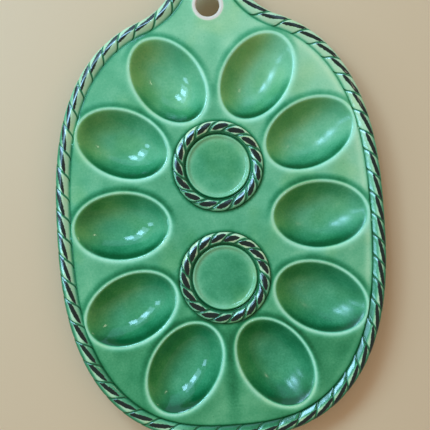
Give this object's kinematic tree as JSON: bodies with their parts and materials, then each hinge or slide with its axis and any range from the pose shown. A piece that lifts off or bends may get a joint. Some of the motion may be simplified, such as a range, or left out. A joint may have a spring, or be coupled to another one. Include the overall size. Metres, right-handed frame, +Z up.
{
  "type": "egg holder tray",
  "caption": "Oval glazed earthenware egg tray: oval egg wells with raised lips round rope-ringed dishes, a twisted rope rim and a pierced hanging tab.",
  "frame": {"origin": "on the surface that the tray stands on, below the middle of its overall length and width", "axes": "+Z up out of the wells, +Y along the tray towards the hanging tab, +X to the right seen from above with the tab away from the viewer"},
  "size_m": [0.232, 0.3355, 0.0219],
  "materials": {
    "deck_glaze": "glossy translucent green glaze, paler on edges",
    "well_glaze": "glossy translucent green glaze, deeper where it pools",
    "dish_glaze": "glossy translucent green glaze",
    "rope_glaze": "glossy green glaze with a brown-black dab on each strand"
  },
  "bodies": {
    "root": {"deck": "deck_glaze", "egg_well_right_1": "well_glaze", "egg_well_right_2": "well_glaze", "egg_well_right_3": "well_glaze", "egg_well_right_4": "well_glaze", "egg_well_right_5": "well_glaze", "egg_well_left_1": "well_glaze", "egg_well_left_2": "well_glaze", "egg_well_left_3": "well_glaze", "egg_well_left_4": "well_glaze", "egg_well_left_5": "well_glaze", "upper_dish": "dish_glaze", "lower_dish": "dish_glaze", "upper_rope_ring": "rope_glaze", "lower_rope_ring": "rope_glaze", "rim_rope": "rope_glaze"}
  },
  "joints": []
}
